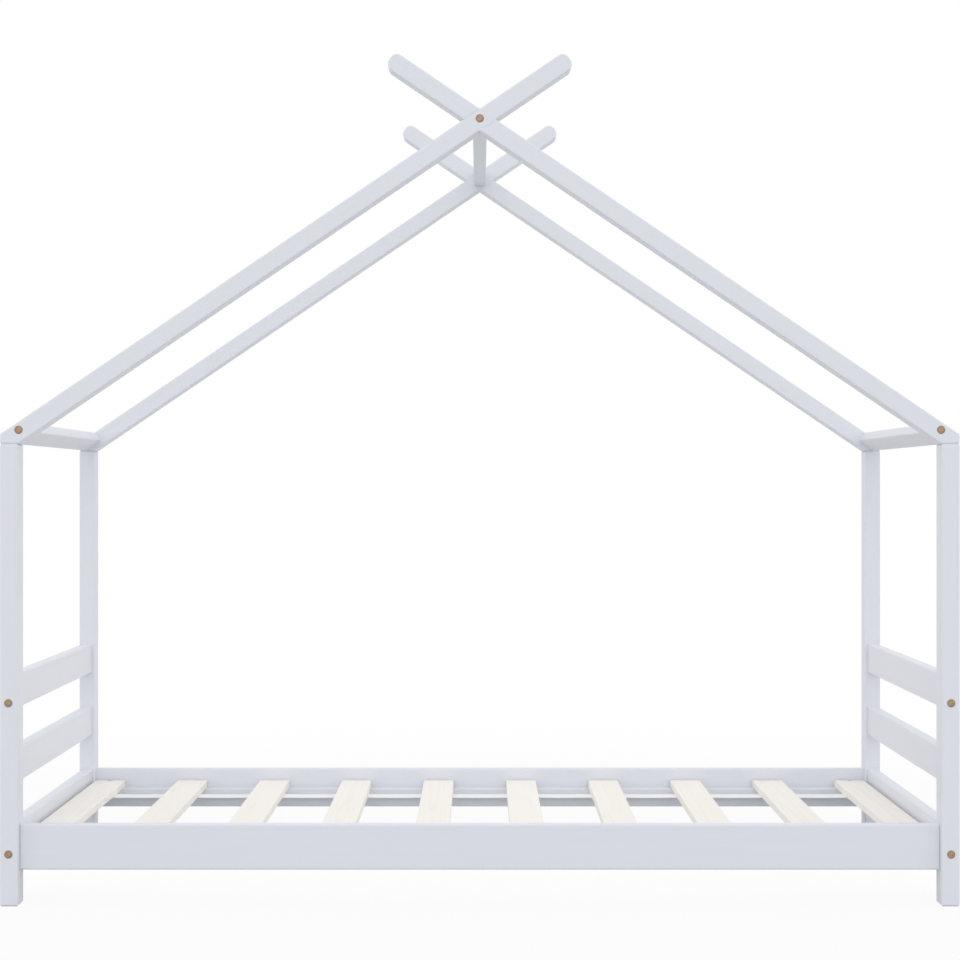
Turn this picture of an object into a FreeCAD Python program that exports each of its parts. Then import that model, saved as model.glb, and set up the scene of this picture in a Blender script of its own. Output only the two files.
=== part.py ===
import FreeCAD, Part
import math
import os

os.makedirs("parts", exist_ok=True)

Vector = FreeCAD.Vector

# House-shaped bed frame for a child, in millimetres.
# X runs along the bed, Y from front to rear, Z up from the floor; the origin is under the middle.

# Outline of the frame, over the faces of the posts
frame_length = 1680.0
frame_width = 895.0

# Rounded long edges of the painted timber, and eased ends of the posts and the rafters' feet
edge_radius = 3.0
end_chamfer = 2.4

# Corner posts
post_width = 32.0
post_depth = 50.0
post_height = 809.5

# Rafters, as deep as the posts and half-lapped where they cross
rafter_width = 32.5
roof_pitch = 34.15
rafter_tip_length = 190.0
rafter_tip_radius = 14.0
lap_clearance = 0.15

# Ridge beam between the two crossings
ridge_beam_width = 25.0
ridge_beam_height = 30.0
ridge_beam_rise = 3.7
ridge_bolt_rise = 2.1
ridge_dowel_spacing = 9.5

# Eave beams, laid in the slope of the roof with their upper faces flush with the rafters
eave_beam_width = 40.0
eave_beam_thickness = 21.0
eave_beam_run = 23.0
eave_bolt_run = 14.5
eave_bolt_depth = 12.5
eave_dowel_run = -4.0

# Side rails along the bed
rail_ground_gap = 62.0
side_rail_height = 80.0
side_rail_thickness = 22.0
side_rail_setback = 15.0
side_rail_end_chamfer = 1.5
side_rail_bolt_height = 50.0
side_rail_dowel_height = 20.0

# End rails across the bed, and the two boards above each
end_rail_height = 80.0
end_board_height = 60.0
end_board_gap = 71.4
end_board_thickness = 22.0
end_board_setback = 4.0
end_rail_bolt_height = 29.0
end_rail_dowel_height = 60.0
end_board_bolt_height = 10.9
end_board_dowel_spacing = 26.0

# Slats, the ledgers that carry them and the webbing that spaces them
slat_count = 10
slat_width = 62.0
slat_thickness = 15.0
slat_edge_chamfer = 1.0
slat_end_gap = 3.0
slat_post_gap = 1.0
ledger_lift = 21.0
ledger_height = 20.0
ledger_depth = 22.0
ledger_end_gap = 4.0
webbing_width = 50.0
webbing_thickness = 1.5
webbing_spacing = 540.0
webbing_end_inset = 8.0

# Flat-headed bolts and their barrel nuts
bolt_radius = 3.0
bolt_clearance = 0.25
bolt_tip_length = 6.0
bolt_tip_room = 1.0
head_radius = 7.0
head_height = 2.5
head_proud = 0.5
head_clearance = 0.3
nut_radius = 5.0
nut_length = 14.0
nut_setback = 35.0
nut_clearance = 0.15

# Flats that stand for the round of the fasteners and their holes
head_flat_count = 16
nut_flat_count = 8
pin_flat_count = 6

# Wooden dowels
dowel_radius = 4.0
dowel_clearance = 0.05
dowel_end_room = 1.0
post_dowel_depth = 16.0
board_dowel_depth = 24.0
rafter_dowel_depth = 12.0
foot_dowel_inset = 11.0

# Wood screws, sunk flush in the first and the last slat
screw_radius = 2.0
screw_head_radius = 4.0
screw_head_height = 2.4
screw_length = 30.0
screw_clearance = 0.1

# Places that follow from the sizes
half_length = frame_length / 2
half_width = frame_width / 2
inner_x = half_length - post_width
inner_y = half_width - post_depth
rail_top = rail_ground_gap + side_rail_height
rail_outer_y = half_width - side_rail_setback
rail_inner_y = rail_outer_y - side_rail_thickness
rail_middle_y = (rail_outer_y + rail_inner_y) / 2
end_outer_x = half_length - end_board_setback
end_inner_x = end_outer_x - end_board_thickness
end_middle_x = (end_outer_x + end_inner_x) / 2
end_rail_bottom = rail_top - end_rail_height
lower_board_bottom = rail_top + end_board_gap
upper_board_bottom = lower_board_bottom + end_board_height + end_board_gap
ledger_bottom = rail_ground_gap + ledger_lift
ledger_top = ledger_bottom + ledger_height
ledger_inner_y = rail_inner_y - ledger_depth
slat_end_y = rail_inner_y - slat_end_gap
first_slat_x = inner_x - slat_post_gap - slat_width / 2
pitch = math.radians(roof_pitch)
crossing_run = (inner_x + rafter_width / 2 * math.sin(pitch)) / math.cos(pitch)
crossing_z = post_height + crossing_run * math.sin(pitch) + rafter_width / 2 * math.cos(pitch)
tip_run = crossing_run + rafter_tip_length
eave_dowel_rise = rafter_width - eave_beam_thickness / 2
eave_bolt_rise = rafter_width - eave_bolt_depth

SIDES = (("left", -1), ("right", 1))
FACES = (("front", -1), ("rear", 1))
X_AXIS = Vector(1, 0, 0)
Y_AXIS = Vector(0, 1, 0)
Z_AXIS = Vector(0, 0, 1)
ORIGIN = Vector(0, 0, 0)

timber = {}
cuts = {}
hardware = {}


def block(low, high):
    """A box between two opposite corners."""
    size = high - low
    return Part.makeBox(size.x, size.y, size.z, low)


def edges_along(shape, axis):
    """The straight edges of a shape that run along an axis."""
    straight = [edge for edge in shape.Edges if edge.Curve.TypeId == "Part::GeomLine"]
    return [edge for edge in straight if abs(abs(edge.Curve.Direction.dot(axis)) - 1) < 1e-6]


def rounded_bar(low, high, axis, radius):
    """A length of timber with its four long edges rounded, by less than half its thickness."""
    size = high - low
    across = [length for length, along in zip(size, axis) if not along]
    bar = block(low, high)
    return bar.makeFillet(min(radius, 0.45 * min(across)), edges_along(bar, axis))


def flat_ring(centre, direction, radius, flats):
    """A regular polygon square to a direction, whose corners lie on a circle."""
    up = Z_AXIS if abs(direction.z) < 0.5 else X_AXIS
    across = direction.cross(up).normalize()
    up = across.cross(direction)
    turns = [2 * math.pi * (corner + 0.5) / flats for corner in range(flats)]
    spokes = [up * math.cos(turn) + across * math.sin(turn) for turn in turns]
    corners = [centre + spoke * radius for spoke in spokes]
    return Part.makePolygon(corners + corners[:1])


def pin(start, direction, radius, length, flats):
    """A straight pin, or the hole for one, with a few flats for its round."""
    return Part.Face(flat_ring(start, direction, radius, flats)).extrude(direction * length)


def mirrored_x(shape):
    """The same piece on the other end of the bed."""
    return shape.mirror(ORIGIN, X_AXIS)


def cut_later(node, cutter):
    """Remember a hole that is cut into a timber once all its joints are known."""
    cuts.setdefault(node, []).append(cutter)


def add_hardware(node, solid):
    """Put one more fastener into its group."""
    hardware.setdefault(node, []).append(solid)


def roof_point(run, rise):
    """A point in the left slope: run up the slope from the post's inner corner, rise square to it."""
    x = -inner_x + run * math.cos(pitch) - rise * math.sin(pitch)
    z = post_height + run * math.sin(pitch) + rise * math.cos(pitch)
    return Vector(x, 0, z)


def slope_slab(start_run, end_run, low_rise, high_rise, low_y, high_y):
    """A plain slab that lies in the left slope of the roof."""
    corners = [roof_point(start_run, low_rise), roof_point(end_run, low_rise),
               roof_point(end_run, high_rise), roof_point(start_run, high_rise)]
    slab = Part.Face(Part.makePolygon(corners + corners[:1])).extrude(Y_AXIS * (high_y - low_y))
    slab.translate(Y_AXIS * low_y)
    return slab


def end_wedges(z, up):
    """Strips planed off an end of the left front post: front, rear, outer and inner edge."""
    middle = Vector(-half_length + post_width / 2, -half_width + post_depth / 2, z)
    wedges = []
    for along, across, length, breadth in ((X_AXIS, Y_AXIS, post_width, post_depth),
                                           (Y_AXIS, X_AXIS, post_depth, post_width)):
        reach = length / 2 + 2 * end_chamfer
        corner = middle - along * reach - across * (breadth / 2)
        profile = [corner, corner + across * end_chamfer, corner + Z_AXIS * (up * end_chamfer), corner]
        wedge = Part.Face(Part.makePolygon(profile)).extrude(along * (2 * reach))
        wedges += [wedge, wedge.mirror(middle, across)]
    return wedges


def make_posts():
    """Four posts with rounded upright edges and eased ends."""
    low = Vector(-half_length, -half_width, 0)
    high = Vector(-inner_x, -inner_y, post_height)
    post = rounded_bar(low, high, Z_AXIS, edge_radius)
    post = post.cut(end_wedges(0, 1) + end_wedges(post_height, -1))
    for side, sx in SIDES:
        for face, fy in FACES:
            copy = post.copy() if sx < 0 else mirrored_x(post)
            timber[f"{face}_{side}_post"] = copy if fy < 0 else copy.mirror(ORIGIN, Y_AXIS)


def rafter_blank():
    """Left front rafter before its lap: foot flat on the post, outer end plumb, square tip."""
    outer_run = (rafter_width * math.sin(pitch) - post_width) / math.cos(pitch)
    outline = [roof_point(0, 0), roof_point(tip_run, 0), roof_point(tip_run, rafter_width),
               roof_point(outer_run, rafter_width), Vector(-half_length, 0, post_height)]
    blank = Part.Face(Part.makePolygon(outline + outline[:1])).extrude(Y_AXIS * post_depth)
    blank.translate(Y_AXIS * -half_width)
    return blank


def on_long_faces(edge):
    """True for an outline edge of the rafter's front or rear face that isn't on the post or at the tip."""
    box = edge.BoundBox
    return box.YLength < 1e-6 and box.ZMax > post_height + 1e-6 and box.XMin < 0


def make_rafters():
    """Two crossed pairs; edges stay sharp inside the half-lap, so the crossing is flush."""
    blank = rafter_blank()
    tip_edges = [edge for edge in edges_along(blank, Y_AXIS) if edge.BoundBox.XMin > 0]
    sharp = blank.makeFillet(min(rafter_tip_radius, 0.49 * rafter_width), tip_edges)
    rounded = blank.makeFillet(edge_radius, [edge for edge in blank.Edges if on_long_faces(edge)])
    outer_and_long_sides = end_wedges(post_height, 1)[:3]
    rounded = rounded.common(sharp).cut(outer_and_long_sides)
    reach = (crossing_run - 3 * rafter_width, crossing_run + 3 * rafter_width)
    middle_y = -half_width + post_depth / 2
    crossing = mirrored_x(slope_slab(*reach, 0, rafter_width, -half_width, -inner_y))
    rafter = rounded.fuse(sharp.common(crossing)).removeSplitter()
    low_rise = -lap_clearance
    high_rise = rafter_width + lap_clearance
    inner_lap = mirrored_x(slope_slab(*reach, low_rise, high_rise, middle_y, -inner_y))
    outer_lap = slope_slab(*reach, low_rise, high_rise, -half_width, middle_y)
    over = rafter.cut(inner_lap)
    under = mirrored_x(rafter).cut(outer_lap)
    timber["front_left_rafter"] = over
    timber["front_right_rafter"] = under
    for front, rear in (("front_left", "rear_right"), ("front_right", "rear_left")):
        turned = timber[f"{front}_rafter"].copy()
        turned.rotate(ORIGIN, Z_AXIS, 180)
        timber[f"{rear}_rafter"] = turned


def make_roof_beams():
    """Ridge beam and two eave beams, all between the front and rear rafters."""
    ridge_z = crossing_z + ridge_beam_rise
    low = Vector(-ridge_beam_width / 2, -inner_y, ridge_z - ridge_beam_height / 2)
    high = Vector(ridge_beam_width / 2, inner_y, ridge_z + ridge_beam_height / 2)
    timber["ridge_beam"] = rounded_bar(low, high, Y_AXIS, edge_radius)
    low_rise = rafter_width - eave_beam_thickness
    low_run = eave_beam_run - eave_beam_width
    beam = slope_slab(low_run, eave_beam_run, low_rise, rafter_width, -inner_y, inner_y)
    radius = min(edge_radius, 0.45 * min(eave_beam_thickness, eave_beam_width))
    beam = beam.makeFillet(radius, edges_along(beam, Y_AXIS))
    timber["left_eave_beam"] = beam
    timber["right_eave_beam"] = mirrored_x(beam)


def make_rails_and_boards():
    """Side rails between the posts, their outer faces eased at the ends; end rails and boards across."""
    low = Vector(-inner_x, -rail_outer_y, rail_ground_gap)
    high = Vector(inner_x, -rail_inner_y, rail_top)
    profile = [low, low + X_AXIS * side_rail_end_chamfer, low + Y_AXIS * side_rail_end_chamfer, low]
    wedge = Part.Face(Part.makePolygon(profile)).extrude(Z_AXIS * side_rail_height)
    rail = rounded_bar(low, high, X_AXIS, edge_radius).cut([wedge, mirrored_x(wedge)])
    timber["front_side_rail"] = rail
    timber["rear_side_rail"] = rail.mirror(ORIGIN, Y_AXIS)
    rows = (("end_rail", end_rail_bottom, end_rail_height),
            ("lower_end_board", lower_board_bottom, end_board_height),
            ("upper_end_board", upper_board_bottom, end_board_height))
    for name, bottom, height in rows:
        low = Vector(-end_outer_x, -inner_y, bottom)
        high = Vector(-end_inner_x, inner_y, bottom + height)
        board = rounded_bar(low, high, Y_AXIS, edge_radius)
        timber[f"left_{name}"] = board
        timber[f"right_{name}"] = mirrored_x(board)


def make_slat_base():
    """Ledgers on the side rails, slats across them and webbing straps under the slats."""
    for face, fy in FACES:
        near = min(fy * ledger_inner_y, fy * rail_inner_y)
        low = Vector(ledger_end_gap - inner_x, near, ledger_bottom)
        high = Vector(inner_x - ledger_end_gap, near + ledger_depth, ledger_top)
        ledger = block(low, high)
        bare_edges = [edge for edge in edges_along(ledger, X_AXIS)
                      if abs(edge.CenterOfMass.y - fy * ledger_inner_y) < 1e-6]
        radius = min(edge_radius, 0.45 * ledger_height)
        timber[f"{face}_slat_ledger"] = ledger.makeFillet(radius, bare_edges)
        strap_x = first_slat_x + slat_width / 2 - webbing_end_inset
        strap_y = fy * webbing_spacing / 2
        low = Vector(-strap_x, strap_y - webbing_width / 2, ledger_top - webbing_thickness)
        high = Vector(strap_x, strap_y + webbing_width / 2, ledger_top)
        timber[f"{face}_slat_webbing"] = block(low, high)
    for number in range(slat_count):
        x = first_slat_x * (2 * number / (slat_count - 1) - 1)
        low = Vector(x - slat_width / 2, -slat_end_y, ledger_top)
        high = Vector(x + slat_width / 2, slat_end_y, ledger_top + slat_thickness)
        slat = block(low, high)
        timber[f"slat_{number + 1:02d}"] = slat.makeChamfer(slat_edge_chamfer, edges_along(slat, Y_AXIS))


def bolt_joint(group, through, into, mouth, direction, grip, nut_axis, nut_mouth):
    """Bolt through one or more pieces into the end of another, drawn up by a barrel nut across it.

    mouth is where the bolt's axis meets the outer face, grip the thickness it passes, and nut_mouth
    the distance from the bolt's axis to the face that the nut goes in by, along nut_axis.
    """
    recess = head_height - head_proud
    seat = mouth + direction * recess
    nut_middle = mouth + direction * (grip + nut_setback)
    nut_end = nut_middle - nut_axis * (nut_length / 2)
    shank_length = grip - recess + nut_setback + nut_radius + bolt_tip_length
    head = pin(mouth - direction * head_proud, direction, head_radius, head_height, head_flat_count)
    shank = pin(seat, direction, bolt_radius, shank_length, pin_flat_count)
    add_hardware(f"{group}_bolts", head.fuse(shank))
    hole = pin(seat, direction, bolt_radius + bolt_clearance, shank_length + bolt_tip_room, pin_flat_count)
    nut = pin(nut_end, nut_axis, nut_radius, nut_length, nut_flat_count)
    add_hardware(f"{group}_nuts", nut.cut(hole))
    head_hole = pin(mouth, direction, head_radius + head_clearance, recess, head_flat_count)
    for node in through:
        cut_later(node, head_hole)
        cut_later(node, hole)
    cut_later(into, hole)
    nut_depth = nut_length / 2 + nut_mouth
    cut_later(into, pin(nut_end, nut_axis, nut_radius + nut_clearance, nut_depth, nut_flat_count))


def dowel_joint(group, first, second, middle, direction, first_depth, second_depth):
    """Dowel across the joint face at middle; direction points from the first piece into the second."""
    start = middle - direction * first_depth
    length = first_depth + second_depth
    add_hardware(f"{group}_dowels", pin(start, direction, dowel_radius, length, pin_flat_count))
    hole = pin(start - direction * dowel_end_room, direction, dowel_radius + dowel_clearance,
               length + 2 * dowel_end_room, pin_flat_count)
    cut_later(first, hole)
    cut_later(second, hole)


def join_end_boards():
    """Bolts and dowels between the posts and the end rails and boards."""
    for side, sx in SIDES:
        for face, fy in FACES:
            post = f"{face}_{side}_post"
            inward = Vector(0, -fy, 0)
            into_room = Vector(-sx, 0, 0)
            post_face = Vector(sx * end_middle_x, fy * half_width, 0)
            rail_mouth = post_face + Z_AXIS * (end_rail_bottom + end_rail_bolt_height)
            bolt_joint("end_rail", [post], f"{side}_end_rail", rail_mouth, inward, post_depth,
                       into_room, end_board_thickness / 2)
            board_mouth = post_face + Z_AXIS * (upper_board_bottom + end_board_bolt_height)
            bolt_joint("end_board", [post], f"{side}_upper_end_board", board_mouth, inward, post_depth,
                       -Z_AXIS, end_board_bolt_height)
            half_spacing = end_board_dowel_spacing / 2
            lower_middle = lower_board_bottom + end_board_height / 2
            upper_middle = upper_board_bottom + end_board_height / 2
            rows = (("end_rail", "end_rail", end_rail_bottom + end_rail_dowel_height),
                    ("end_board", "lower_end_board", lower_middle - half_spacing),
                    ("end_board", "lower_end_board", lower_middle + half_spacing),
                    ("end_board", "upper_end_board", upper_middle + half_spacing))
            for group, board, height in rows:
                middle = Vector(sx * end_middle_x, fy * inner_y, height)
                dowel_joint(group, post, f"{side}_{board}", middle, inward,
                            post_dowel_depth, board_dowel_depth)


def join_side_rails():
    """Bolts and dowels between the posts and the side rails."""
    for face, fy in FACES:
        rail = f"{face}_side_rail"
        for side, sx in SIDES:
            post = f"{face}_{side}_post"
            inward = Vector(-sx, 0, 0)
            mouth = Vector(sx * half_length, fy * rail_middle_y, rail_ground_gap + side_rail_bolt_height)
            bolt_joint("side_rail", [post], rail, mouth, inward, post_width,
                       Vector(0, -fy, 0), side_rail_thickness / 2)
            middle = Vector(sx * inner_x, fy * rail_middle_y, rail_ground_gap + side_rail_dowel_height)
            dowel_joint("side_rail", post, rail, middle, inward, post_dowel_depth, board_dowel_depth)


def screw_body(mouth, room):
    """Upright screw with its head flush at the mouth, grown by some room for its hole."""
    head = pin(mouth, -Z_AXIS, screw_head_radius + room, screw_head_height + room, pin_flat_count)
    shank = pin(mouth, -Z_AXIS, screw_radius + room, screw_length + room, pin_flat_count)
    return head.fuse(shank)


def join_slats():
    """Screws that hold the first and the last slat to the ledgers."""
    for node, sx in (("slat_01", -1), (f"slat_{slat_count:02d}", 1)):
        for face, fy in FACES:
            y = fy * (ledger_inner_y + slat_end_y) / 2
            mouth = Vector(sx * first_slat_x, y, ledger_top + slat_thickness)
            add_hardware("slat_screws", screw_body(mouth, 0.0))
            hole = screw_body(mouth, screw_clearance)
            cut_later(node, hole)
            cut_later(f"{face}_slat_ledger", hole)


def join_roof():
    """Bolts and dowels at the crossings and at the rafter feet."""
    bolt_z = crossing_z + ridge_bolt_rise
    nut_mouth = ridge_beam_rise + ridge_beam_height / 2 - ridge_bolt_rise
    for face, fy in FACES:
        inward = Vector(0, -fy, 0)
        pair = [f"{face}_left_rafter", f"{face}_right_rafter"]
        mouth = Vector(0, fy * half_width, bolt_z)
        bolt_joint("ridge", pair, "ridge_beam", mouth, inward, post_depth, Z_AXIS, nut_mouth)
        lapped_inside = "front_right_rafter" if fy < 0 else "rear_left_rafter"
        middle = Vector(0, fy * inner_y, bolt_z + ridge_dowel_spacing)
        dowel_joint("ridge", lapped_inside, "ridge_beam", middle, inward,
                    rafter_dowel_depth, board_dowel_depth)
        for side, sx in SIDES:
            rafter = f"{face}_{side}_rafter"
            beam = f"{side}_eave_beam"
            bolt_at = roof_point(eave_bolt_run, eave_bolt_rise)
            outward = Vector(sx * math.sin(pitch), 0, math.cos(pitch))
            mouth = Vector(-sx * bolt_at.x, fy * half_width, bolt_at.z)
            bolt_joint("eave", [rafter], beam, mouth, inward, post_depth, outward, eave_bolt_depth)
            dowel_at = roof_point(eave_dowel_run, eave_dowel_rise)
            middle = Vector(-sx * dowel_at.x, fy * inner_y, dowel_at.z)
            dowel_joint("eave", rafter, beam, middle, inward, rafter_dowel_depth, board_dowel_depth)
            foot_y = half_width - post_depth / 2
            middle = Vector(sx * (half_length - foot_dowel_inset), fy * foot_y, post_height)
            dowel_joint("rafter_foot", f"{face}_{side}_post", rafter, middle, Z_AXIS,
                        board_dowel_depth, rafter_dowel_depth)


def save(node, shape):
    """Write one node's solids to its file."""
    shape.exportStep(f"parts/{node}.step")


make_posts()
make_rafters()
make_roof_beams()
make_rails_and_boards()
make_slat_base()
join_end_boards()
join_side_rails()
join_slats()
join_roof()

for node, piece in timber.items():
    holes = cuts.get(node, [])
    save(node, piece.cut(holes) if holes else piece)

for node, solids in hardware.items():
    save(node, Part.makeCompound(solids))
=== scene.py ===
"""Looks of a house-shaped bed frame for a child: painted timber, bare slats, bolts and webbing."""

import math

import bmesh
import bpy
from mathutils import Matrix, Vector


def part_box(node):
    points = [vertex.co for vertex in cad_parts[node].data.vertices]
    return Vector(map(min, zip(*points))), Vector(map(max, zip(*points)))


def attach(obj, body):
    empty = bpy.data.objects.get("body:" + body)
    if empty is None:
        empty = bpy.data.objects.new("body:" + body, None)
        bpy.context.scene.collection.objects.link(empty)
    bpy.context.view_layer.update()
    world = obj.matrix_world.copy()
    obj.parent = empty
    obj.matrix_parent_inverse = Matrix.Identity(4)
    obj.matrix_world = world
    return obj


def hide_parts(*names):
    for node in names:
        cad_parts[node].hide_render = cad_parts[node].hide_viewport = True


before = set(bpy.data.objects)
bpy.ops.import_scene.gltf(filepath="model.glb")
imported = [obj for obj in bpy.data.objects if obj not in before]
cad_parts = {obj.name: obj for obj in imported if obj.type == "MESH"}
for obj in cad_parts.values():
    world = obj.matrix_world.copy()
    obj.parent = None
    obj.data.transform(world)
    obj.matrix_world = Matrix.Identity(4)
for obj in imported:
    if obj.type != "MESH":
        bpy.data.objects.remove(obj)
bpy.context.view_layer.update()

bl_info = {
    "name": "House Bed Frame",
    "version": (1, 0, 0),
    "blender": (4, 5, 0),
    "location": "View3D > Sidebar > House Bed",
    "description": "Finishes the timber of a house-shaped bed frame and models its hardware and webbing",
    "category": "Object",
}

# Nodes of the CAD frame, by the finish or the piece that they get
POSTS = ["front_left_post", "front_right_post", "rear_left_post", "rear_right_post"]
LEFT_RAFTERS = ["front_left_rafter", "rear_left_rafter"]
RIGHT_RAFTERS = ["front_right_rafter", "rear_right_rafter"]
CROSS_TIMBER = ["ridge_beam", "left_eave_beam", "right_eave_beam", "left_end_rail", "right_end_rail",
                "left_lower_end_board", "right_lower_end_board",
                "left_upper_end_board", "right_upper_end_board"]
LONG_TIMBER = ["front_side_rail", "rear_side_rail", "front_slat_ledger", "rear_slat_ledger"]
SLATS = sorted(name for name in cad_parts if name.startswith("slat_") and name != "slat_screws")
DOWELS = sorted(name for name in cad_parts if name.endswith("_dowels"))
BOLTS = sorted(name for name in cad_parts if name.endswith("_bolts"))
NUTS = sorted(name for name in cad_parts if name.endswith("_nuts"))
STRAPS = ["front_slat_webbing", "rear_slat_webbing"]
BODY = "root"

# Picking and shading: a length in metres, the Z of a normal and an angle
TOUCH = 1e-6
FACING_DOWN = -0.9
SMOOTH_ANGLE = math.radians(32)

# Fasteners nearer than this to the middle of the bed's length belong to the ridge
RIDGE_ZONE = 0.1

# Bolts: the tip's chamfer is a share of the shank's radius, and the painted shade that darkens the head
# towards its rim starts at a share of the head's radius
BOLT_FLATS = 48
BOLT_RIM_STEPS = 4
BOLT_TIP_CHAMFER = 0.3
BOLT_RIM_SHADE_START = 0.82
SOCKET_FLATS = 6

# Barrel nuts: the chamfer is a share of the nut's radius, the bore of the bolt shank's
NUT_FLATS = 40
NUT_CHAMFER = 0.1
BORE_FLATS = 32
BORE_RADIUS = 1.02

# Screws: the point goes by the shank's radius, the rim and the recess's arms by the head's radius,
# and the recess's width and depth by an arm, with a bottom narrower than its top
SCREW_FLATS = 40
SCREW_POINT_LENGTH = 3
SCREW_POINT_TIP = 0.08
SCREW_RIM = 0.06
RECESS_ARM = 0.55
RECESS_WIDTH = 0.36
RECESS_DEPTH = 1.45
RECESS_BOTTOM = 0.6

# Webbing: the selvedge is a share of the strap's thickness, and the weft's pitch goes by the warp's
STRAP_CELLS_ALONG = 240
STRAP_CELLS_ACROSS = 12
SELVEDGE_WIDTH = 0.35
SELVEDGE_ANGLE = math.radians(60)
WEFT_PITCH = 1.5

# Slats: the log's length, where its pith lies from a slat and how far it wanders, in metres,
# and how close the growth rings are
LOG_LENGTH = 7.0
PITH_SIDE = 0.05
PITH_DEPTH = 0.012
PITH_DEPTH_RANGE = 0.03
PITH_WANDER_SIDE = 0.030
PITH_WANDER_DEPTH = 0.016
RING_RADIANS_PER_METRE = 1750.0

# Stage: sizes and distances in metres, the share of plain white in the floor round the bed,
# and the paler patch of floor under it
FLOOR_SIZE = 60.0
FLOOR_WHITE = 0.93
FLOOR_FADE_START = 0.8
FLOOR_FADE_END = 3.2
PATCH_STRETCH = (0.30, 1.0, 1.0)
PATCH_INNER = 0.28
PATCH_OUTER = 0.46
FRONT_LIGHT_HEIGHT = math.radians(25)
SIDE_LIGHT_HEIGHT = math.radians(14)
SIDE_LIGHT_TURN = math.radians(65)
SENSOR_WIDTH = 36.0
VIEW_REACH = 100.0
WHITE = (1.0, 1.0, 1.0, 1.0)

# Sockets of a Mix node that mixes two colours
MIX_FACTOR = 0
MIX_FIRST = 6
MIX_SECOND = 7
MIX_RESULT = 2


class Flow:
    """One socket of a node tree. Arithmetic on it adds Math nodes."""

    def __init__(self, tree, socket=None):
        self.tree = tree
        self.socket = socket

    def node(self, kind, settings=None, inputs=None, output=0):
        """Add a node: its settings first, then the values or links of its sockets."""
        made = self.tree.nodes.new(kind)
        for name, value in (settings or {}).items():
            setattr(made, name, value)
        for name, value in (inputs or {}).items():
            if isinstance(value, Flow):
                self.tree.links.new(value.socket, made.inputs[name])
            else:
                made.inputs[name].default_value = value
        return Flow(self.tree, made.outputs[output] if made.outputs else None)

    def out(self, name):
        """Another output of the same node."""
        return Flow(self.tree, self.socket.node.outputs[name])

    def math(self, operation, *values):
        """A Math node on this socket's tree."""
        return self.node("ShaderNodeMath", {"operation": operation}, dict(enumerate(values)))

    def __add__(self, other):
        return self.math("ADD", self, other)

    def __radd__(self, other):
        return self.math("ADD", other, self)

    def __sub__(self, other):
        return self.math("SUBTRACT", self, other)

    def __rsub__(self, other):
        return self.math("SUBTRACT", other, self)

    def __mul__(self, other):
        return self.math("MULTIPLY", self, other)

    def __rmul__(self, other):
        return self.math("MULTIPLY", other, self)

    def __truediv__(self, other):
        return self.math("DIVIDE", self, other)

    def __rtruediv__(self, other):
        return self.math("DIVIDE", other, self)


class FinishSettings(bpy.types.PropertyGroup):
    """Colours and sheen of the paint, the bare wood and the metal."""

    paint: bpy.props.FloatVectorProperty(
        name="Paint", description="Colour of the white paint where it lies thick",
        subtype="COLOR", size=3, min=0.0, max=1.0, default=(0.760, 0.784, 0.840))
    paint_shade: bpy.props.FloatVectorProperty(
        name="Paint in the Grain", description="Colour of the paint where it sinks into the grain",
        subtype="COLOR", size=3, min=0.0, max=1.0, default=(0.742, 0.766, 0.825))
    paint_roughness: bpy.props.FloatProperty(
        name="Paint Roughness", description="Roughness of the satin paint",
        subtype="FACTOR", min=0.0, max=1.0, default=0.44)
    slat_light: bpy.props.FloatVectorProperty(
        name="Slat Early Wood", description="Colour of the pale wood between the growth rings of the slats",
        subtype="COLOR", size=3, min=0.0, max=1.0, default=(0.955, 0.922, 0.876))
    slat_dark: bpy.props.FloatVectorProperty(
        name="Slat Late Wood", description="Colour of the growth rings of the slats",
        subtype="COLOR", size=3, min=0.0, max=1.0, default=(0.880, 0.815, 0.730))
    slat_roughness: bpy.props.FloatProperty(
        name="Slat Roughness", description="Roughness of the sanded slats",
        subtype="FACTOR", min=0.0, max=1.0, default=0.62)
    dowel_light: bpy.props.FloatVectorProperty(
        name="Dowel Wood", description="Colour of the hardwood dowels",
        subtype="COLOR", size=3, min=0.0, max=1.0, default=(0.620, 0.430, 0.270))
    dowel_dark: bpy.props.FloatVectorProperty(
        name="Dowel Flecks", description="Colour of the flecks in the dowels",
        subtype="COLOR", size=3, min=0.0, max=1.0, default=(0.470, 0.300, 0.175))
    # Plain bronze plating, which is also the painted shade at the rim of each bolt head
    bronze: bpy.props.FloatVectorProperty(
        name="Bolt Bronze", description="Colour of the bolts' bronze plating",
        subtype="COLOR", size=3, min=0.0, max=1.0, default=(0.330, 0.238, 0.157))
    # Pale plating, in random cloudy patches and in the middle of each head, away from the painted shade at
    # the rim
    bronze_pale: bpy.props.FloatVectorProperty(
        name="Bolt Rub", description="Colour of the plating where keys and fingers have rubbed it",
        subtype="COLOR", size=3, min=0.0, max=1.0, default=(0.490, 0.320, 0.197))
    zinc: bpy.props.FloatVectorProperty(
        name="Zinc", description="Colour of the zinc plating on nuts and screws",
        subtype="COLOR", size=3, min=0.0, max=1.0, default=(0.620, 0.635, 0.650))
    zinc_dull: bpy.props.FloatVectorProperty(
        name="Dull Zinc", description="Colour of the dull patches in the zinc",
        subtype="COLOR", size=3, min=0.0, max=1.0, default=(0.500, 0.515, 0.520))
    tape: bpy.props.FloatVectorProperty(
        name="Webbing", description="Colour of the raised yarns of the webbing",
        subtype="COLOR", size=3, min=0.0, max=1.0, default=(0.970, 0.972, 0.978))
    # Painted shade: the colour that the webbing gets in the low places between its raised yarns
    tape_gap_shade: bpy.props.FloatVectorProperty(
        name="Webbing Gaps", description="Colour between the yarns of the webbing",
        subtype="COLOR", size=3, min=0.0, max=1.0, default=(0.860, 0.866, 0.878))


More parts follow.
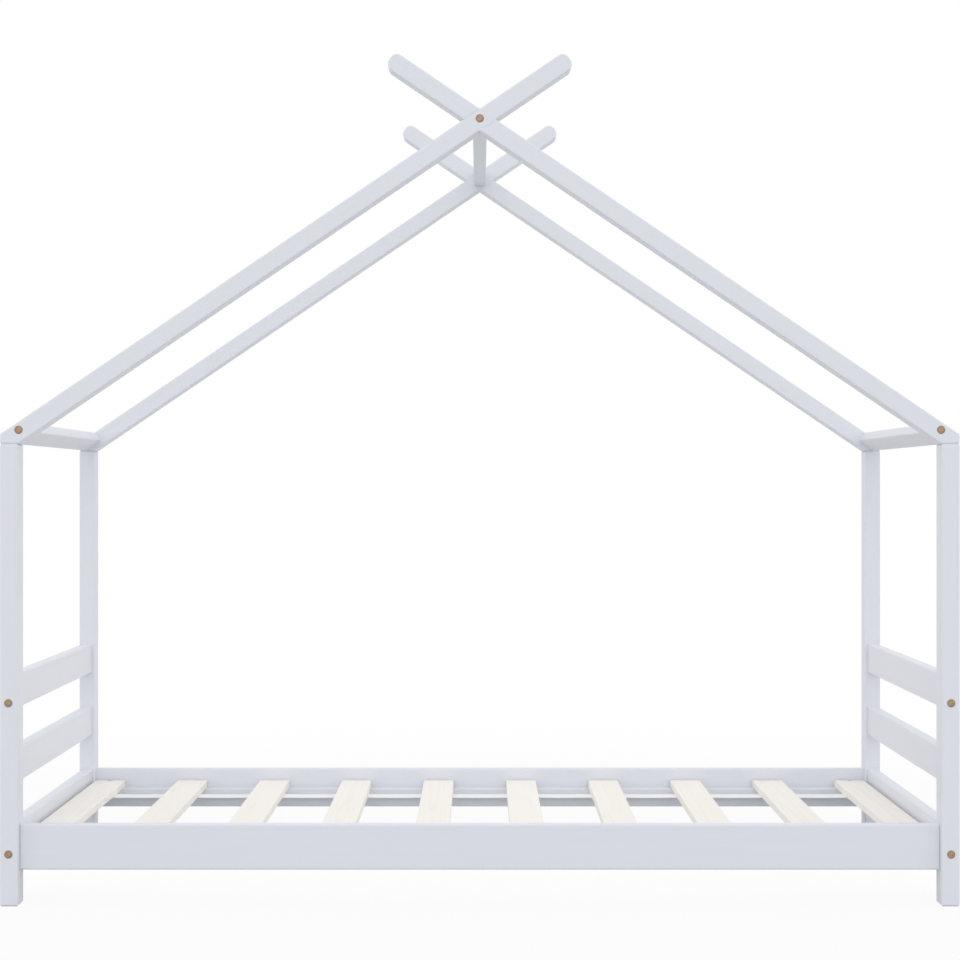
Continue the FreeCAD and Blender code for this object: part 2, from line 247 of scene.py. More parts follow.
class HardwareSettings(bpy.types.PropertyGroup):
    """Slope of the roof and sizes of the bolts, nuts, screws and webbing."""

    roof_pitch: bpy.props.FloatProperty(
        name="Roof Pitch", description="Slope of the roof, for the rafters' grain and the eave nuts",
        subtype="ANGLE", default=math.radians(34.15))
    head_radius: bpy.props.FloatProperty(
        name="Bolt Head Radius", description="Radius of the flat bolt heads",
        unit="LENGTH", default=0.007)
    head_height: bpy.props.FloatProperty(
        name="Bolt Head Height", description="Thickness of the flat bolt heads",
        unit="LENGTH", default=0.0025)
    head_rounding: bpy.props.FloatProperty(
        name="Bolt Head Rounding", description="Rounding of the bolt heads' rim",
        unit="LENGTH", default=0.0009)
    shank_radius: bpy.props.FloatProperty(
        name="Bolt Shank Radius", description="Radius of the bolt shanks",
        unit="LENGTH", default=0.0026)
    socket_radius: bpy.props.FloatProperty(
        name="Socket Radius", description="Radius over the corners of the hexagon sockets",
        unit="LENGTH", default=0.0026)
    socket_depth: bpy.props.FloatProperty(
        name="Socket Depth", description="Depth of the hexagon sockets",
        unit="LENGTH", default=0.0018)
    nut_radius: bpy.props.FloatProperty(
        name="Barrel Nut Radius", description="Radius of the barrel nuts",
        unit="LENGTH", default=0.0046)
    nut_length: bpy.props.FloatProperty(
        name="Barrel Nut Length", description="Length of the barrel nuts",
        unit="LENGTH", default=0.014)
    nut_slot: bpy.props.FloatProperty(
        name="Barrel Nut Slot", description="Width of the driver slot in the barrel nuts",
        unit="LENGTH", default=0.0014)
    screw_head_radius: bpy.props.FloatProperty(
        name="Screw Head Radius", description="Radius of the countersunk screw heads",
        unit="LENGTH", default=0.0043)
    screw_shank_radius: bpy.props.FloatProperty(
        name="Screw Shank Radius", description="Radius of the screw shanks",
        unit="LENGTH", default=0.0017)
    screw_proud: bpy.props.FloatProperty(
        name="Screw Head Proud", description="How far the screw heads stand out of the slats",
        unit="LENGTH", default=0.00015)
    tape_sag: bpy.props.FloatProperty(
        name="Webbing Sag", description="How far the webbing hangs down between two slats",
        unit="LENGTH", default=0.0003)
    yarn_pitch: bpy.props.FloatProperty(
        name="Yarn Pitch", description="Distance between two yarns of the webbing",
        unit="LENGTH", default=0.0016)


class StageSettings(bpy.types.PropertyGroup):
    """Camera, floor and light."""

    camera_place: bpy.props.FloatVectorProperty(
        name="Camera", description="Place of the camera, straight before the long side",
        subtype="TRANSLATION", size=3, default=(0.0, -4.6985, 0.7349))
    lens: bpy.props.FloatProperty(
        name="Lens", description="Focal length in millimetres on a 36 mm sensor",
        unit="CAMERA", default=91.1)
    lens_shift: bpy.props.FloatVectorProperty(
        name="Lens Shift", description="Shift of the picture against the lens",
        size=2, default=(0.0002, 0.0069))
    floor_near: bpy.props.FloatVectorProperty(
        name="Floor under the Bed", description="Colour of the floor under the bed",
        subtype="COLOR", size=3, min=0.0, max=1.0, default=(0.960, 0.960, 0.964))
    floor_far: bpy.props.FloatVectorProperty(
        name="Floor around the Bed", description="Colour of the floor further off",
        subtype="COLOR", size=3, min=0.0, max=1.0, default=(0.585, 0.585, 0.591))
    room_light: bpy.props.FloatProperty(
        name="Room Light", description="Strength of the even light from all round",
        min=0.0, default=0.94)
    front_light: bpy.props.FloatProperty(
        name="Front Light", description="Strength of the wide soft light from the camera's side",
        min=0.0, default=0.25)
    side_light: bpy.props.FloatProperty(
        name="Side Lights", description="Strength of the low, soft lights from the front left and right",
        min=0.0, default=0.26)
    light_width: bpy.props.FloatProperty(
        name="Light Width", description="Angle over which the front and side lights are spread",
        subtype="ANGLE", default=math.radians(42))


def start_material(name):
    """A new material with an empty node tree."""
    material = bpy.data.materials.new(name)
    material.use_nodes = True
    material.node_tree.nodes.clear()
    return material, Flow(material.node_tree)


def noise(flow, place, scale, detail, roughness=0.5):
    """Soft noise from 0 to 1 at a place."""
    return flow.node("ShaderNodeTexNoise", {"noise_dimensions": "3D"},
                     {"Vector": place, "Scale": scale, "Detail": detail, "Roughness": roughness})


def stretch(flow, place, factors):
    """A place scaled by a factor on each axis."""
    return flow.node("ShaderNodeVectorMath", {"operation": "MULTIPLY"}, {0: place, 1: factors})


def blend(flow, factor, first, second):
    """A colour between two colours."""
    return flow.node("ShaderNodeMix", {"data_type": "RGBA", "clamp_factor": True},
                     {MIX_FACTOR: factor, MIX_FIRST: (*first, 1.0), MIX_SECOND: (*second, 1.0)}, MIX_RESULT)


def bump(flow, height, strength, distance):
    """A normal tilted by a height from 0 to 1, which stands for a distance in metres."""
    return flow.node("ShaderNodeBump", inputs={"Height": height, "Strength": strength, "Distance": distance})


def reach_of(flow, place):
    """Distance of a place from the origin."""
    return flow.node("ShaderNodeVectorMath", {"operation": "LENGTH"}, {0: place}, "Value")


def ease(flow, value, start, end, low=0.0):
    """A smooth step from low to 1 while a value goes from start to end."""
    return flow.node("ShaderNodeMapRange", {"interpolation_type": "SMOOTHSTEP"},
                     {"Value": value, "From Min": start, "From Max": end, "To Min": low, "To Max": 1.0})


def shown_rays(flow):
    """1 for what the camera sees straight, in metal or through glass, and 0 for light on the object."""
    rays = flow.node("ShaderNodeLightPath", output="Is Camera Ray")
    bounced = flow.math("MAXIMUM", rays.out("Is Glossy Ray"), rays.out("Is Transmission Ray"))
    return flow.math("MAXIMUM", rays, bounced)


def close_material(flow, sockets):
    """Add the shader with the values or links of its sockets and join it to the output."""
    shader = flow.node("ShaderNodeBsdfPrincipled", inputs=sockets)
    flow.node("ShaderNodeOutputMaterial", inputs={"Surface": shader})


def painted_timber(name, turn, finish):
    """Satin white paint on planed softwood, with the grain along a direction turned to Z."""
    material, flow = start_material(name)
    place = flow.node("ShaderNodeTexCoord", output="Object")
    along = flow.node("ShaderNodeMapping", inputs={"Vector": place, "Rotation": turn})
    drawn = stretch(flow, along, (1.0, 1.0, 0.03))
    streaks = noise(flow, drawn, scale=150.0, detail=4.0, roughness=0.62)
    pores = noise(flow, drawn, scale=620.0, detail=2.0)
    clouds = noise(flow, along, scale=7.0, detail=2.0)
    film = noise(flow, place, scale=850.0, detail=1.0)
    grain = streaks * 0.72 + pores * 0.28
    sunk = (grain - 0.42) * 2.6 + (clouds - 0.5) * 0.5
    height = grain * 0.8 + film * 0.2
    close_material(flow, {
        "Base Color": blend(flow, sunk, finish.paint_shade, finish.paint),
        "Roughness": finish.paint_roughness - 0.05 + clouds * 0.06 + film * 0.05,
        "Specular IOR Level": 0.42,
        "Normal": bump(flow, height, strength=0.22, distance=0.0006),
    })
    return material


def bare_pine(name, finish, slat_count, first_x, last_x):
    """Sanded pine: growth rings cut at another depth in each slat, with the grain along Y."""
    material, flow = start_material(name)
    place = flow.node("ShaderNodeTexCoord", output="Object")
    split = flow.node("ShaderNodeSeparateXYZ", inputs={"Vector": place})
    x, y, z = split.out("X"), split.out("Y"), split.out("Z")

    # The slat's number, and three chances drawn from it
    pitch = (last_x - first_x) / (slat_count - 1)
    number = flow.math("FLOOR", (x - first_x) / pitch + 0.5)
    draw = flow.node("ShaderNodeTexWhiteNoise", {"noise_dimensions": "1D"},
                     {"W": number * 1.7 + 0.3}, "Color")
    chance = flow.node("ShaderNodeSeparateColor", inputs={"Color": draw})
    side, depth, slide = chance.out("Red"), chance.out("Green"), chance.out("Blue")

    # Growth rings round a pith that lies off the slat and wanders along it
    across = x - (number * pitch + first_x) + (side - 0.5) * PITH_SIDE
    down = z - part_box(SLATS[0])[1].z - PITH_DEPTH - depth * PITH_DEPTH_RANGE
    length = y + slide * LOG_LENGTH
    drift = flow.node("ShaderNodeCombineXYZ",
                      inputs={"X": length * 1.1, "Y": number * 3.1, "Z": across * 2.0})
    wander = noise(flow, drift, scale=1.0, detail=2.0) - 0.5
    lean = across + wander * PITH_WANDER_SIDE
    sink = down + wander * PITH_WANDER_DEPTH
    reach = flow.math("SQRT", lean * lean + sink * sink)
    ripple = flow.math("SINE", reach * RING_RADIANS_PER_METRE)
    late = flow.math("POWER", ripple * 0.5 + 0.5, 2.6)

    # Fine fibres along the slat, and a tone of its own for each slat
    fibre_place = flow.node("ShaderNodeCombineXYZ", inputs={"X": x, "Y": y * 0.025, "Z": z})
    fibres = noise(flow, fibre_place, scale=520.0, detail=3.0, roughness=0.6)
    clouds = noise(flow, place, scale=11.0, detail=2.0)
    shade = late * (0.16 + clouds * 0.30) + (fibres - 0.5) * 0.45 + (side - 0.5) * 0.20 + 0.06
    height = fibres * 0.7 + late * 0.3
    close_material(flow, {
        "Base Color": blend(flow, shade, finish.slat_light, finish.slat_dark),
        "Roughness": finish.slat_roughness - 0.06 + fibres * 0.12,
        "Specular IOR Level": 0.35,
        "Normal": bump(flow, height, strength=0.25, distance=0.0005),
    })
    return material


def dowel_hardwood(name, finish):
    """Turned hardwood with short flecks."""
    material, flow = start_material(name)
    place = flow.node("ShaderNodeTexCoord", output="Object")
    drawn = stretch(flow, place, (1.0, 0.15, 0.6))
    flecks = noise(flow, drawn, scale=900.0, detail=3.0, roughness=0.6)
    close_material(flow, {
        "Base Color": blend(flow, (flecks - 0.4) * 3.0, finish.dowel_dark, finish.dowel_light),
        "Roughness": 0.55 + flecks * 0.15,
        "Normal": bump(flow, flecks, strength=0.2, distance=0.0003),
    })
    return material


def bronze_plate(name, finish):
    """Bronze plating on steel, cloudy and finely scratched, with painted shade that darkens each head towards
    its rim.
    """
    material, flow = start_material(name)
    place = flow.node("ShaderNodeTexCoord", output="Object")
    rim = flow.node("ShaderNodeAttribute", {"attribute_name": "rim"}, output="Fac")
    clouds = noise(flow, place, scale=420.0, detail=3.0, roughness=0.6)
    drawn = stretch(flow, place, (1.0, 1.0, 0.12))
    scratches = noise(flow, drawn, scale=2600.0, detail=2.0)
    # Painted shade: the head grows darker from its middle out to the rim, while clouds and scratches vary the
    # tone at random
    rim_shade_and_tone = (BOLT_RIM_SHADE_START - rim) * 2.2 + (clouds - 0.5) * 1.4 + (scratches - 0.5) * 0.8
    close_material(flow, {
        "Base Color": blend(flow, rim_shade_and_tone, finish.bronze, finish.bronze_pale),
        "Metallic": 1.0,
        "Roughness": 0.36 + clouds * 0.14,
        "Normal": bump(flow, scratches, strength=0.15, distance=0.0001),
    })
    return material


def zinc_plate(name, finish):
    """Bright zinc plating with dull patches."""
    material, flow = start_material(name)
    place = flow.node("ShaderNodeTexCoord", output="Object")
    patches = noise(flow, place, scale=520.0, detail=3.0, roughness=0.6)
    drawn = stretch(flow, place, (0.2, 1.0, 1.0))
    lines = noise(flow, drawn, scale=2200.0, detail=2.0)
    close_material(flow, {
        "Base Color": blend(flow, (patches - 0.4) * 3.0, finish.zinc_dull, finish.zinc),
        "Metallic": 1.0,
        "Roughness": 0.30 + patches * 0.18,
        "Normal": bump(flow, lines, strength=0.15, distance=0.0001),
    })
    return material


def woven_tape(name, finish, yarn_pitch):
    """Plain-woven polyester webbing with raised yarns along and across it, and painted shade between the
    yarns.
    """
    material, flow = start_material(name)
    place = flow.node("ShaderNodeTexCoord", output="Object")
    split = flow.node("ShaderNodeSeparateXYZ", inputs={"Vector": place})
    turn = 2 * math.pi / yarn_pitch
    warp = flow.math("SINE", split.out("Y") * turn)
    weft = flow.math("SINE", split.out("X") * (turn / WEFT_PITCH))
    over = warp * weft * 0.5 + 0.5
    ribs = flow.math("ABSOLUTE", warp) * 0.6 + over * 0.4
    fuzz = noise(flow, place, scale=1500.0, detail=2.0)
    height = ribs * 0.85 + fuzz * 0.15
    close_material(flow, {
        # Painted shade: the lower the weave, the darker the colour between the yarns
        "Base Color": blend(flow, height * 1.3 - 0.1, finish.tape_gap_shade, finish.tape),
        "Roughness": 0.72 + fuzz * 0.16,
        "Specular IOR Level": 0.3,
        "Sheen Weight": 0.15,
        "Normal": bump(flow, height, strength=0.55, distance=0.0004),
    })
    return material


def give(nodes, material):
    """Put one material on every slot of some timber."""
    for name in nodes:
        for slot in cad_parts[name].material_slots:
            slot.material = material


def begin_piece():
    """Leave edit mode and let go of whatever is selected."""
    if bpy.context.object and bpy.context.object.mode != "OBJECT":
        bpy.ops.object.mode_set(mode="OBJECT")
    bpy.ops.object.select_all(action="DESELECT")


def edit(kind):
    """Go into edit mode on the active piece, picking vertices, edges or faces."""
    bpy.ops.object.mode_set(mode="EDIT")
    bpy.ops.mesh.select_mode(type=kind)
    bpy.ops.mesh.select_all(action="DESELECT")


def pick_lower_faces():
    """Select the faces that look straight down."""
    mesh = bpy.context.object.data
    work = bmesh.from_edit_mesh(mesh)
    for face in work.faces:
        face.select_set(face.normal.z < FACING_DOWN)
    bmesh.update_edit_mesh(mesh)


def pick_edges(test):
    """Select the edges whose two ends pass a test."""
    mesh = bpy.context.object.data
    work = bmesh.from_edit_mesh(mesh)
    for edge in work.edges:
        edge.select_set(all(test(vertex.co) for vertex in edge.verts))
    bmesh.update_edit_mesh(mesh)


def carve(piece, cutter):
    """Cut one piece out of another and throw the cutter away."""
    bpy.ops.object.select_all(action="DESELECT")
    piece.select_set(True)
    bpy.context.view_layer.objects.active = piece
    cut = piece.modifiers.new("Cut", "BOOLEAN")
    cut.operation = "DIFFERENCE"
    cut.solver = "EXACT"
    cut.object = cutter
    bpy.ops.object.modifier_apply(modifier=cut.name)
    bpy.data.objects.remove(cutter)


def sort_mesh(mesh):
    """Order points, edges and faces by place, because the order that a cut leaves varies from run to run."""
    work = bmesh.new()
    work.from_mesh(mesh)
    ordered = sorted(work.verts, key=lambda vertex: vertex.co[:])
    ranks = {vertex: rank for rank, vertex in enumerate(ordered)}
    for sequence in (work.edges, work.faces):
        ordered = sorted(sequence, key=lambda item: sorted(ranks[vertex] for vertex in item.verts))
        places = {item: place for place, item in enumerate(ordered)}
        sequence.sort(key=places.get)
    work.verts.sort(key=ranks.get)
    work.to_mesh(mesh)
    work.free()


def spread(model, places, name):
    """Copy a model to each place, its Z axis along a direction, and join the copies in one piece."""
    sort_mesh(model.data)
    copies = []
    for point, direction in places:
        begin_piece()
        model.select_set(True)
        bpy.context.view_layer.objects.active = model
        bpy.ops.object.duplicate(linked=False)
        copy = bpy.context.object
        turn = direction.to_track_quat("Z", "Y").to_matrix().to_4x4()
        copy.matrix_world = Matrix.Translation(point) @ turn
        bpy.ops.object.transform_apply(location=True, rotation=True, scale=True)
        copies.append(copy)
    begin_piece()
    for copy in copies:
        copy.select_set(True)
    bpy.context.view_layer.objects.active = copies[0]
    bpy.ops.object.join()
    bpy.data.objects.remove(model)
    piece = bpy.context.object
    piece.name = name
    piece.data.name = name
    return piece


def settle(piece, material, nodes):
    """Finish a new piece: material, slot, body and the CAD nodes it stands for."""
    begin_piece()
    piece.select_set(True)
    bpy.context.view_layer.objects.active = piece
    bpy.ops.object.shade_smooth_by_angle(angle=SMOOTH_ANGLE)
    piece.data.materials.clear()
    piece.data.materials.append(material)
    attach(piece, BODY)
    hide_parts(*nodes)


def corner_boxes(node):
    """The box of each fastener in a group: one in each corner of the bed, or one at each end of the ridge."""
    groups = {}
    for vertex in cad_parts[node].data.vertices:
        point = vertex.co
        side = 0 if abs(point.x) < RIDGE_ZONE else math.copysign(1, point.x)
        groups.setdefault((side, math.copysign(1, point.y)), []).append(point)
    boxes = []
    for key in sorted(groups):
        points = groups[key]
        low = Vector([min(point[axis] for point in points) for axis in range(3)])
        high = Vector([max(point[axis] for point in points) for axis in range(3)])
        boxes.append((low, high))
    return boxes


def bolt_places(node):
    """Middle of each bolt's outer face and the direction out of the timber."""
    places = []
    for low, high in corner_boxes(node):
        axis = 0 if high.x - low.x > high.y - low.y else 1
        middle = (low + high) / 2
        outward = Vector((0, 0, 0))
        outward[axis] = math.copysign(1, middle[axis])
        middle[axis] = high[axis] if outward[axis] > 0 else low[axis]
        places.append((middle, outward))
    return places


def nut_mouth(node, middle, pitch):
    """Direction in which the slotted end of a barrel nut looks out of its timber."""
    end = math.copysign(1, middle.x)
    side = math.copysign(1, middle.y)
    return {
        "eave_nuts": Vector((end * math.sin(pitch), 0, math.cos(pitch))),
        "end_board_nuts": Vector((0, 0, -1)),
        "end_rail_nuts": Vector((-end, 0, 0)),
        "ridge_nuts": Vector((0, 0, 1)),
        "side_rail_nuts": Vector((0, -side, 0)),
    }[node]


def mark_rim_shade(bolt, radius):
    """Note how far out each point of a bolt lies, for the painted shade that darkens the head towards its
    rim.
    """
    rim = bolt.data.attributes.new("rim", "FLOAT", "POINT")
    for vertex in bolt.data.vertices:
        rim.data[vertex.index].value = vertex.co.xy.length / radius


def model_bolt(length, sizes):
    """One flat-headed bolt, its head's face at the origin and its shank down Z."""
    begin_piece()
    bpy.ops.mesh.primitive_cylinder_add(vertices=BOLT_FLATS, radius=sizes.head_radius,
                                        depth=sizes.head_height, location=(0, 0, -sizes.head_height / 2))
    bolt = bpy.context.object
    bpy.ops.object.transform_apply(location=True, rotation=True, scale=True)
    edit("FACE")
    pick_lower_faces()
    bpy.ops.mesh.inset(thickness=sizes.head_radius - sizes.shank_radius)
    shank = length - sizes.head_height
    bpy.ops.mesh.extrude_region_move(TRANSFORM_OT_translate={"value": (0, 0, -shank)})
    bpy.ops.mesh.select_mode(type="EDGE")
    pick_edges(lambda point: point.z < TOUCH - length)
    bpy.ops.mesh.bevel(offset=BOLT_TIP_CHAMFER * sizes.shank_radius, segments=1)
    pick_edges(lambda point: point.z > -TOUCH)
    bpy.ops.mesh.bevel(offset=sizes.head_rounding, segments=BOLT_RIM_STEPS)
    begin_piece()
    bpy.ops.mesh.primitive_cylinder_add(vertices=SOCKET_FLATS, radius=sizes.socket_radius,
                                        depth=2 * sizes.socket_depth)
    carve(bolt, bpy.context.object)
    mark_rim_shade(bolt, sizes.head_radius)
    return bolt


def model_nut(sizes):
    """One barrel nut along Z with a driver slot in its upper end and a cross hole for the bolt."""
    begin_piece()
    bpy.ops.mesh.primitive_cylinder_add(vertices=NUT_FLATS, radius=sizes.nut_radius, depth=sizes.nut_length)
    nut = bpy.context.object
    edit("EDGE")
    half = sizes.nut_length / 2
    chamfer = NUT_CHAMFER * sizes.nut_radius
    pick_edges(lambda point: point.z > half - TOUCH)
    bpy.ops.mesh.bevel(offset=chamfer, segments=2)
    pick_edges(lambda point: point.z < TOUCH - half)
    bpy.ops.mesh.bevel(offset=chamfer, segments=2)
    begin_piece()
    bpy.ops.mesh.primitive_cylinder_add(vertices=BORE_FLATS, radius=BORE_RADIUS * sizes.shank_radius,
                                        depth=4 * sizes.nut_radius, rotation=(0, math.pi / 2, 0))
    carve(nut, bpy.context.object)
    begin_piece()
    bpy.ops.mesh.primitive_cube_add(size=1.0, location=(0, 0, half),
                                    scale=(4 * sizes.nut_radius, sizes.nut_slot, 2 * sizes.nut_slot))
    carve(nut, bpy.context.object)
    return nut


def model_screw(length, sizes):
    """One countersunk screw with a cross recess, its head's face at the origin and its shank down Z."""
    begin_piece()
    sink = sizes.screw_head_radius - sizes.screw_shank_radius
    bpy.ops.mesh.primitive_cone_add(vertices=SCREW_FLATS, radius1=sizes.screw_shank_radius,
                                    radius2=sizes.screw_head_radius, depth=sink, location=(0, 0, -sink / 2))
    screw = bpy.context.object
    bpy.ops.object.transform_apply(location=True, rotation=True, scale=True)
    edit("FACE")
    pick_lower_faces()
    point_length = SCREW_POINT_LENGTH * sizes.screw_shank_radius
    bpy.ops.mesh.extrude_region_move(TRANSFORM_OT_translate={"value": (0, 0, sink + point_length - length)})
    bpy.ops.mesh.extrude_region_move(TRANSFORM_OT_translate={"value": (0, 0, -point_length)})
    bpy.ops.transform.resize(value=(SCREW_POINT_TIP, SCREW_POINT_TIP, 1.0))
    bpy.ops.mesh.select_mode(type="EDGE")
    pick_edges(lambda point: point.z > -TOUCH)
    bpy.ops.mesh.bevel(offset=SCREW_RIM * sizes.screw_head_radius, segments=2)
    arm = RECESS_ARM * sizes.screw_head_radius
    for turn in (0.0, math.pi / 2):
        begin_piece()
        bpy.ops.mesh.primitive_cube_add(size=1.0, rotation=(0, 0, turn),
                                        scale=(2 * arm, RECESS_WIDTH * arm, RECESS_DEPTH * arm))
        wing = bpy.context.object
        edit("EDGE")
        pick_edges(lambda point: point.z < 0)
        bpy.ops.transform.resize(value=(RECESS_BOTTOM, RECESS_BOTTOM, 1.0))
        bpy.ops.object.mode_set(mode="OBJECT")
        carve(screw, wing)
    return screw


def model_strap(low, high, gaps, sag):
    """One webbing strap in the box between two corners, which sags a little in each gap between slats."""
    begin_piece()
    bpy.ops.mesh.primitive_grid_add(x_subdivisions=STRAP_CELLS_ALONG, y_subdivisions=STRAP_CELLS_ACROSS,
                                    size=1.0)
    strap = bpy.context.object
    strap.scale = (high.x - low.x, high.y - low.y, 1.0)
    strap.location = (low + high) / 2
    bpy.ops.object.transform_apply(location=True, rotation=True, scale=True)
    for vertex in strap.data.vertices:
        for start, end in gaps:
            if start < vertex.co.x < end:
                share = (vertex.co.x - start) / (end - start)
                vertex.co.z -= sag * math.sin(math.pi * share) ** 2
    thickness = high.z - low.z
    wall = strap.modifiers.new("Thickness", "SOLIDIFY")
    wall.thickness = thickness
    wall.offset = 0.0
    bpy.ops.object.modifier_apply(modifier=wall.name)
    selvedge = strap.modifiers.new("Selvedge", "BEVEL")
    selvedge.width = SELVEDGE_WIDTH * thickness
    selvedge.segments = 2
    selvedge.limit_method = "ANGLE"
    selvedge.angle_limit = SELVEDGE_ANGLE
    bpy.ops.object.modifier_apply(modifier=selvedge.name)
    return strap


def pale_floor(name, stage):
    """A floor that looks white with a faint shadow, and throws back less light away from the bed."""
    material, flow = start_material(name)
    place = flow.node("ShaderNodeTexCoord", output="Object")
    off_patch = ease(flow, reach_of(flow, stretch(flow, place, PATCH_STRETCH)), PATCH_INNER, PATCH_OUTER)
    ground = flow.node("ShaderNodeBsdfPrincipled", inputs={
        "Base Color": blend(flow, off_patch, stage.floor_near, stage.floor_far),
        "Roughness": 0.9,
        "Specular IOR Level": 0.1,
    })
    white = flow.node("ShaderNodeEmission", inputs={"Color": WHITE, "Strength": 1.0})
    fade = ease(flow, reach_of(flow, place), FLOOR_FADE_START, FLOOR_FADE_END, FLOOR_WHITE)
    mixed = flow.node("ShaderNodeMixShader", inputs={0: shown_rays(flow) * fade, 1: ground, 2: white})
    flow.node("ShaderNodeOutputMaterial", inputs={"Surface": mixed})
    return material


def white_room(name, stage):
    """A world that looks plain white and gives even light from all round."""
    world = bpy.data.worlds.new(name)
    world.use_nodes = True
    world.node_tree.nodes.clear()
    flow = Flow(world.node_tree)
    shown = shown_rays(flow)
    strength = shown + (1 - shown) * stage.room_light
    sky = flow.node("ShaderNodeBackground", inputs={"Color": WHITE, "Strength": strength})
    flow.node("ShaderNodeOutputWorld", inputs={"Surface": sky})
    return world


def hang_lamp(name, height, turn, strength, width):
    """One soft lamp at a height over the horizon, turned from the camera's side to the right."""
    begin_piece()
    bpy.ops.object.light_add(type="SUN", rotation=(math.pi / 2 - height, 0, turn))
    lamp = bpy.context.object
    lamp.name = name
    lamp.data.energy = strength
    lamp.data.angle = width


def place_camera(stage):
    """The camera, level and square to the long side of the bed."""
    begin_piece()
    bpy.ops.object.camera_add(location=stage.camera_place, rotation=(math.pi / 2, 0, 0))
    camera = bpy.context.object
    camera.data.sensor_width = SENSOR_WIDTH
    camera.data.lens = stage.lens
    camera.data.shift_x, camera.data.shift_y = stage.lens_shift
    camera.data.clip_end = VIEW_REACH
    return camera


class BED_OT_paint_frame(bpy.types.Operator):
    """Paint the posts, rafters, beams, rails and ledgers"""

    bl_idname = "bed.paint_frame"
    bl_label = "Paint the Frame"

    def execute(self, context):
        finish = context.scene.bed_finish
        lean = math.pi / 2 - context.scene.bed_hardware.roof_pitch
        give(POSTS, painted_timber("white_paint_upright", (0, 0, 0), finish))
        give(LONG_TIMBER, painted_timber("white_paint_along", (0, -math.pi / 2, 0), finish))
        give(CROSS_TIMBER, painted_timber("white_paint_across", (math.pi / 2, 0, 0), finish))
        give(LEFT_RAFTERS, painted_timber("white_paint_left_slope", (0, -lean, 0), finish))
        give(RIGHT_RAFTERS, painted_timber("white_paint_right_slope", (0, lean, 0), finish))
        return {"FINISHED"}


class BED_OT_finish_slats(bpy.types.Operator):
    """Give the slats their bare, sanded pine"""

    bl_idname = "bed.finish_slats"
    bl_label = "Finish the Slats"

    def execute(self, context):
        first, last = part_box(SLATS[0]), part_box(SLATS[-1])
        first_x = (first[0].x + first[1].x) / 2
        last_x = (last[0].x + last[1].x) / 2
        give(SLATS, bare_pine("slat_pine", context.scene.bed_finish, len(SLATS), first_x, last_x))
        return {"FINISHED"}


class BED_OT_finish_dowels(bpy.types.Operator):
    """Give the dowels their hardwood"""

    bl_idname = "bed.finish_dowels"
    bl_label = "Finish the Dowels"

    def execute(self, context):
        give(DOWELS, dowel_hardwood("dowel_hardwood", context.scene.bed_finish))
        return {"FINISHED"}


class BED_OT_make_bolts(bpy.types.Operator):
    """Model the flat-headed bolts with hexagon sockets"""

    bl_idname = "bed.make_bolts"
    bl_label = "Make the Bolts"

    def execute(self, context):
        sizes = context.scene.bed_hardware
        bronze = bronze_plate("bolt_bronze", context.scene.bed_finish)
        for node in BOLTS:
            low, high = corner_boxes(node)[0]
            length = max(high - low)
            piece = spread(model_bolt(length, sizes), bolt_places(node), f"socket_{node}")
            settle(piece, bronze, [node])
        return {"FINISHED"}


class BED_OT_make_nuts(bpy.types.Operator):
    """Model the slotted barrel nuts"""

    bl_idname = "bed.make_nuts"
    bl_label = "Make the Barrel Nuts"

    def execute(self, context):
        sizes = context.scene.bed_hardware
        zinc = zinc_plate("nut_zinc", context.scene.bed_finish)
        for node in NUTS:
            places = []
            for low, high in corner_boxes(node):
                middle = (low + high) / 2
                places.append((middle, nut_mouth(node, middle, sizes.roof_pitch)))
            piece = spread(model_nut(sizes), places, f"slotted_{node}")
            settle(piece, zinc, [node])
        return {"FINISHED"}


class BED_OT_make_screws(bpy.types.Operator):
    """Model the screws that hold the first and the last slat"""

    bl_idname = "bed.make_screws"
    bl_label = "Make the Slat Screws"

    def execute(self, context):
        sizes = context.scene.bed_hardware
        zinc = zinc_plate("screw_zinc", context.scene.bed_finish)
        boxes = corner_boxes("slat_screws")
        places = []
        for low, high in boxes:
            middle = (low + high) / 2
            places.append((Vector((middle.x, middle.y, high.z + sizes.screw_proud)), Vector((0, 0, 1))))
        low, high = boxes[0]
        length = high.z - low.z
        piece = spread(model_screw(length, sizes), places, "cross_slat_screws")
        settle(piece, zinc, ["slat_screws"])
        return {"FINISHED"}


class BED_OT_lay_webbing(bpy.types.Operator):
    """Lay the two webbing straps under the slats"""

    bl_idname = "bed.lay_webbing"
    bl_label = "Lay the Webbing"

    def execute(self, context):
        sizes = context.scene.bed_hardware
        tape = woven_tape("slat_webbing", context.scene.bed_finish, sizes.yarn_pitch)
        spans = [(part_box(name)[0].x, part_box(name)[1].x) for name in SLATS]
        gaps = [(before[1], after[0]) for before, after in zip(spans, spans[1:])]
        for node in STRAPS:
            low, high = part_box(node)
            strap = model_strap(low, high, gaps, sizes.tape_sag)
            strap.name = f"woven_{node}"
            strap.data.name = strap.name
            settle(strap, tape, [node])
        return {"FINISHED"}


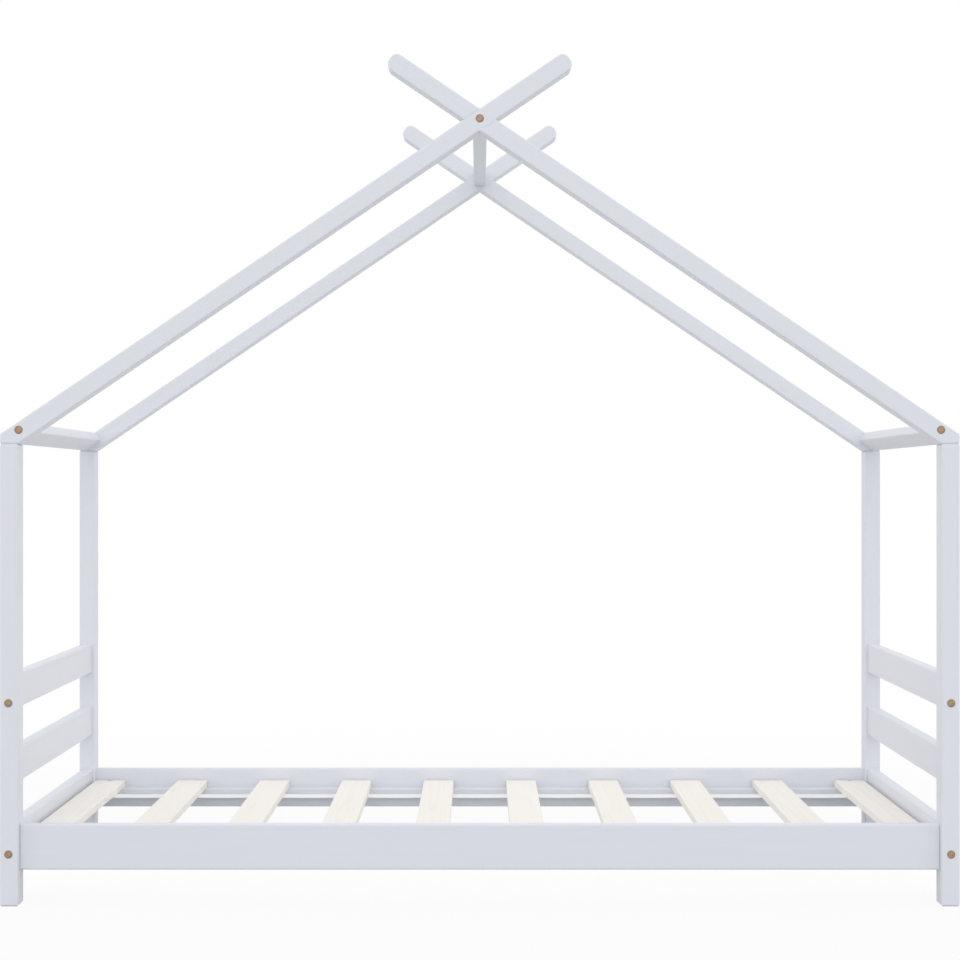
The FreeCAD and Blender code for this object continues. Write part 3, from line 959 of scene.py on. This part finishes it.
class BED_OT_set_stage(bpy.types.Operator):
    """Set the floor, the soft light and the camera"""

    bl_idname = "bed.set_stage"
    bl_label = "Set the Stage"

    def execute(self, context):
        stage = context.scene.bed_stage
        begin_piece()
        bpy.ops.mesh.primitive_plane_add(size=FLOOR_SIZE)
        floor = bpy.context.object
        floor.name = "floor"
        floor.data.materials.append(pale_floor("pale_floor", stage))
        context.scene.world = white_room("studio", stage)
        lamps = (("front_light", FRONT_LIGHT_HEIGHT, 0.0, stage.front_light),
                 ("left_light", SIDE_LIGHT_HEIGHT, -SIDE_LIGHT_TURN, stage.side_light),
                 ("right_light", SIDE_LIGHT_HEIGHT, SIDE_LIGHT_TURN, stage.side_light))
        for name, height, turn, strength in lamps:
            hang_lamp(name, height, turn, strength, stage.light_width)
        context.scene.camera = place_camera(stage)
        context.scene.view_settings.view_transform = "Standard"
        return {"FINISHED"}


class BED_PT_sidebar(bpy.types.Panel):
    """Steps and settings of the bed frame"""

    bl_idname = "BED_PT_sidebar"
    bl_label = "House Bed"
    bl_space_type = "VIEW_3D"
    bl_region_type = "UI"
    bl_category = "House Bed"

    def draw(self, context):
        for step in STEPS:
            self.layout.operator(step.bl_idname)
        for title, group in (("Finish", context.scene.bed_finish), ("Hardware", context.scene.bed_hardware),
                             ("Stage", context.scene.bed_stage)):
            box = self.layout.box()
            box.label(text=title)
            for name in group.bl_rna.properties.keys():
                if name not in {"rna_type", "name"}:
                    box.prop(group, name)


STEPS = (BED_OT_paint_frame, BED_OT_finish_slats, BED_OT_finish_dowels, BED_OT_make_bolts, BED_OT_make_nuts,
         BED_OT_make_screws, BED_OT_lay_webbing, BED_OT_set_stage)
CLASSES = (FinishSettings, HardwareSettings, StageSettings, *STEPS, BED_PT_sidebar)


def register():
    """Add the classes and the settings."""
    for item in CLASSES:
        bpy.utils.register_class(item)
    bpy.types.Scene.bed_finish = bpy.props.PointerProperty(type=FinishSettings)
    bpy.types.Scene.bed_hardware = bpy.props.PointerProperty(type=HardwareSettings)
    bpy.types.Scene.bed_stage = bpy.props.PointerProperty(type=StageSettings)


def unregister():
    """Take the settings and the classes away."""
    del bpy.types.Scene.bed_stage
    del bpy.types.Scene.bed_hardware
    del bpy.types.Scene.bed_finish
    for item in reversed(CLASSES):
        bpy.utils.unregister_class(item)


def main():
    """Run every step in order."""
    register()
    bpy.ops.bed.paint_frame()
    bpy.ops.bed.finish_slats()
    bpy.ops.bed.finish_dowels()
    bpy.ops.bed.make_bolts()
    bpy.ops.bed.make_nuts()
    bpy.ops.bed.make_screws()
    bpy.ops.bed.lay_webbing()
    bpy.ops.bed.set_stage()


if __name__ == "__main__":
    main()
